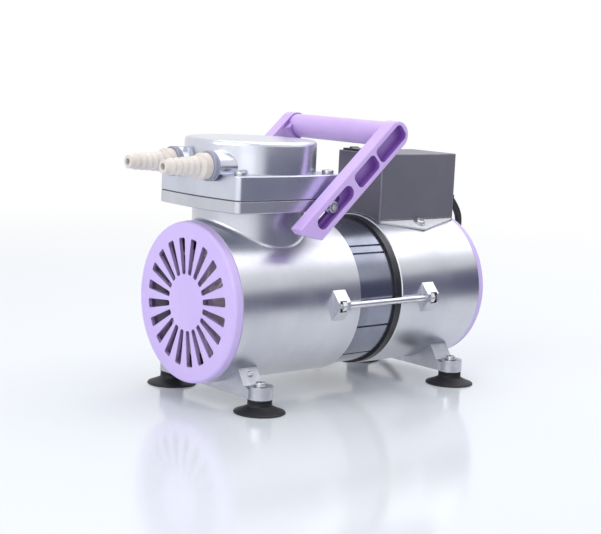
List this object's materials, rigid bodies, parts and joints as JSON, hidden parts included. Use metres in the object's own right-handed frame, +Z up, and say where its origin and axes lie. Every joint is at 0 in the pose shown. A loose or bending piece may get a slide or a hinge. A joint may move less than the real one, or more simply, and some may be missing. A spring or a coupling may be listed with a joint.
{
  "type": "diaphragm vacuum pump",
  "caption": "Portable diaphragm vacuum pump: round motor barrel on suction feet, square head with round cap and hose barbs, terminal box, tilting carrying bail and mains lead.",
  "frame": {"origin": "on the floor, under the middle of the pump between the tips of the hose barbs and the rear cover", "axes": "+X along the motor axis towards the rear cover, +Y to the side of the outlet, +Z up"},
  "size_m": [0.3359, 0.2582, 0.2131],
  "materials": {
    "cover_plastic": "lilac satin moulding",
    "cast_casing": "fine satin metallic paint on casting",
    "cap_casting": "smooth satin casting",
    "laminations": "stacked sheets under dark slate paint",
    "dark_band": "dark turned ring",
    "copper_wire": "enamelled copper",
    "bearing_steel": "ground steel",
    "light_alloy": "as cast",
    "fan_plastic": "dark moulding",
    "black_rubber": "matt black rubber",
    "screw_steel": "bright screws",
    "zinc_steel": "zinc plated",
    "barb_plastic": "cream moulding",
    "box_paint": "dark grey satin paint",
    "can_metal": "drawn can",
    "switch_black": "black moulding",
    "handle_plastic": "pale lilac moulding",
    "cord_rubber": "black rubber sheath",
    "plug_rubber": "black moulded plug",
    "pin_brass": "nickel plated"
  },
  "bodies": {
    "pump": {"box_base": "zinc_steel", "box_cover": "box_paint", "capacitor": "can_metal", "cord_coil": "cord_rubber", "cord_gland": "cord_rubber", "diaphragm": "black_rubber", "front_bearing": "bearing_steel", "front_bracket": "zinc_steel", "front_casing": "cast_casing", "front_cover": "cover_plastic", "front_foot_left": "black_rubber", "front_foot_right": "black_rubber", "front_nut_left": "zinc_steel", "front_nut_right": "zinc_steel", "front_shield": "light_alloy", "head_cap": "cap_casting", "head_plate": "cast_casing", "head_screw_1": "screw_steel", "head_screw_2": "screw_steel", "head_screw_3": "screw_steel", "head_screw_4": "screw_steel", "inlet_barb": "barb_plastic", "inlet_collar": "black_rubber", "outlet_barb": "barb_plastic", "outlet_collar": "black_rubber", "plug_body": "plug_rubber", "plug_pins": "pin_brass", "power_cord": "cord_rubber", "rear_bearing": "bearing_steel", "rear_bracket": "zinc_steel", "rear_casing": "cast_casing", "rear_cover": "cover_plastic", "rear_foot_left": "black_rubber", "rear_foot_right": "black_rubber", "rear_nut_left": "zinc_steel", "rear_nut_right": "zinc_steel", "rear_shield": "light_alloy", "stator_band": "dark_band", "stator_core": "laminations", "switch_frame": "switch_black", "tie_rod_left": "zinc_steel", "tie_rod_right": "zinc_steel", "winding_front": "copper_wire", "winding_rear": "copper_wire"},
    "rotor": {"shaft": "bearing_steel", "rotor_core": "laminations", "eccentric": "bearing_steel", "front_fan": "fan_plastic", "rear_fan": "fan_plastic"},
    "rod": {"connecting_rod": "light_alloy", "rod_bearing": "bearing_steel", "clamp_disc": "light_alloy"},
    "inlet_valve_disc": {"inlet_valve": "black_rubber"},
    "outlet_valve_disc": {"outlet_valve": "black_rubber"},
    "rocker": {"switch_rocker": "switch_black"},
    "handle_pivot": {"handle_bolt_right": "zinc_steel", "handle_bolt_left": "zinc_steel"},
    "bail": {"handle": "handle_plastic"}
  },
  "joints": [
    {"name": "shaft_spin", "type": "hinge", "parent": "pump", "child": "rotor", "pos_m": [0.0108, 0, 0.0747], "axis": [1, 0, 0], "continuous": true},
    {"name": "rod_pivot", "type": "hinge", "parent": "rotor", "child": "rod", "pos_m": [-0.0538, 0, 0.0777], "axis": [1, 0, 0], "continuous": true, "deforming": ["diaphragm"]},
    {"name": "inlet_valve_lift", "type": "slide", "parent": "pump", "child": "inlet_valve_disc", "axis": [0, 0, -1], "range_m": [0, 0.001], "stiffness_N_per_m": 20, "springref_m": -0.001},
    {"name": "outlet_valve_lift", "type": "slide", "parent": "pump", "child": "outlet_valve_disc", "axis": [0, 0, 1], "range_m": [0, 0.001], "stiffness_N_per_m": 20, "springref_m": -0.001},
    {"name": "switch_rock", "type": "hinge", "parent": "pump", "child": "rocker", "pos_m": [0.0678, 0.012, 0.184], "axis": [1, 0, 0], "range_deg": [-16, 0]},
    {"name": "handle_swing", "type": "hinge", "parent": "pump", "child": "handle_pivot", "pos_m": [-0.0233, 0, 0.1494], "axis": [0, -1, 0], "range_deg": [-7, 75]},
    {"name": "handle_slide", "type": "slide", "parent": "handle_pivot", "child": "bail", "axis": [0.749, 0, 0.6626], "range_m": [-0.009, 0.015]}
  ],
  "couplings": [
    {"joint": "rod_pivot", "follows": "shaft_spin", "ratio": -1}
  ]
}
